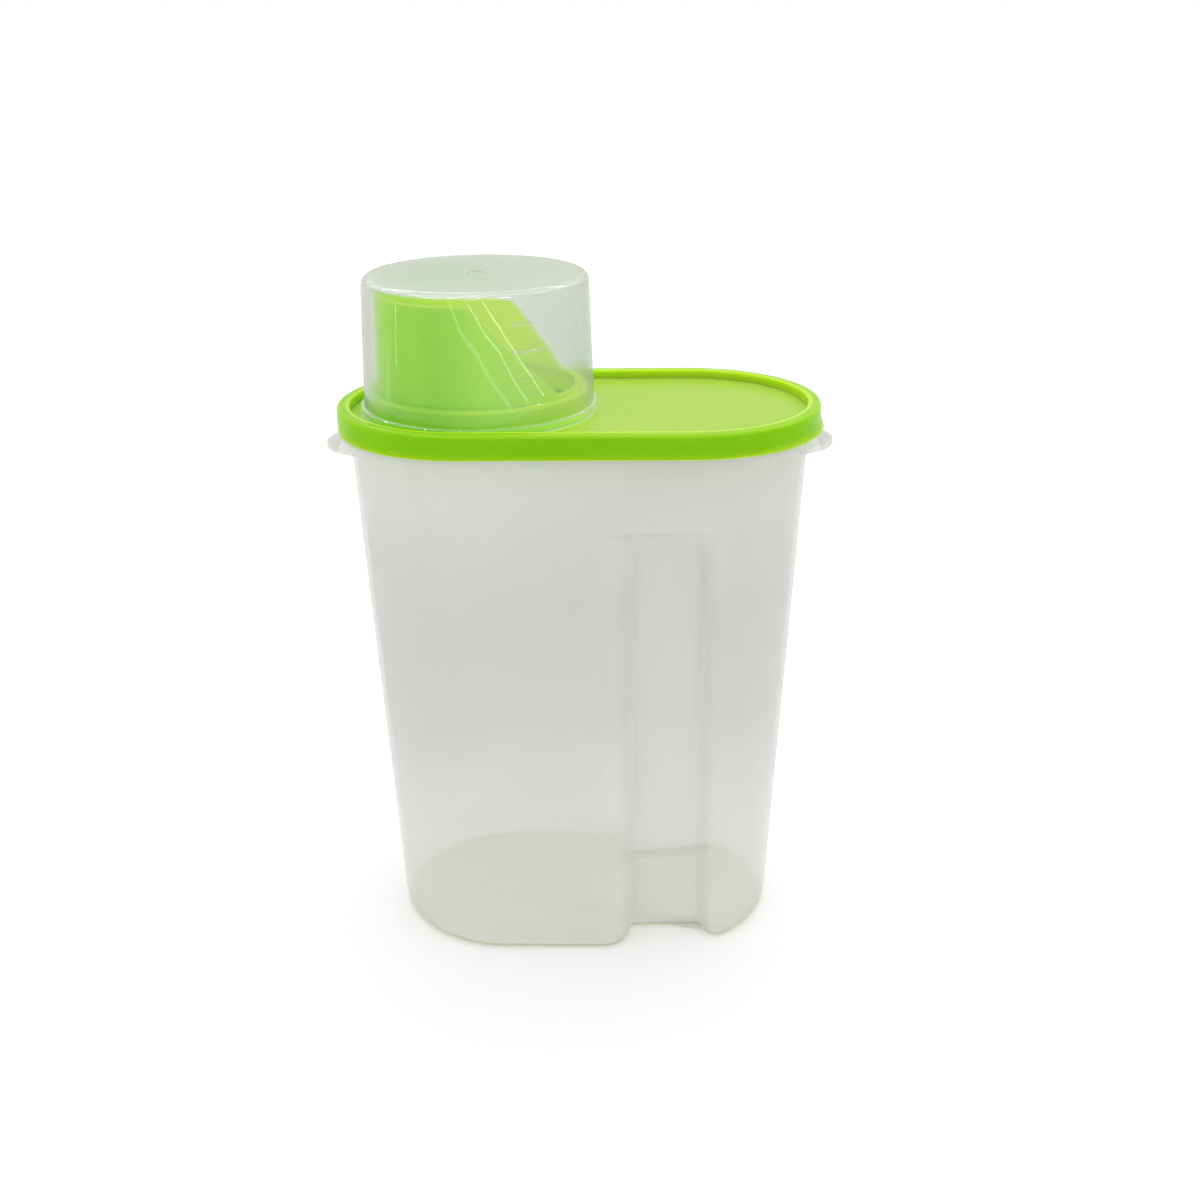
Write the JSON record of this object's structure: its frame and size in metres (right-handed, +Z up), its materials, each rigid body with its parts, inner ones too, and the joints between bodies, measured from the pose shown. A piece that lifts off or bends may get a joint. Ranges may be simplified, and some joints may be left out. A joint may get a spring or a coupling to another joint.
{
  "type": "dry food keeper with measuring cup cap",
  "caption": "Tall oval food bin with grip grooves, a push-on lid with a slanted pouring spout, and a measuring cup that caps the spout upside down.",
  "frame": {"origin": "bottom centre of the whole keeper's box, on the surface that the bin stands on", "axes": "+Z up; +X along the length, away from the spout; +Y to the back, across the depth"},
  "size_m": [0.192, 0.1, 0.2622],
  "materials": {
    "frosted_bin": "frosted translucent polypropylene",
    "green_lid": "satin moulded polyethylene",
    "clear_cup": "glossy, slightly milky polypropylene"
  },
  "bodies": {
    "bin": {"bin": "frosted_bin"},
    "lid": {"lid": "green_lid"},
    "measuring_cup": {"measuring_cup": "clear_cup"}
  },
  "joints": [
    {"name": "lid_lift", "type": "slide", "parent": "bin", "child": "lid", "axis": [0, 0, 1], "range_m": [0, 0.06]},
    {"name": "cup_lift", "type": "slide", "parent": "lid", "child": "measuring_cup", "axis": [0, 0, 1], "range_m": [0, 0.08]}
  ]
}
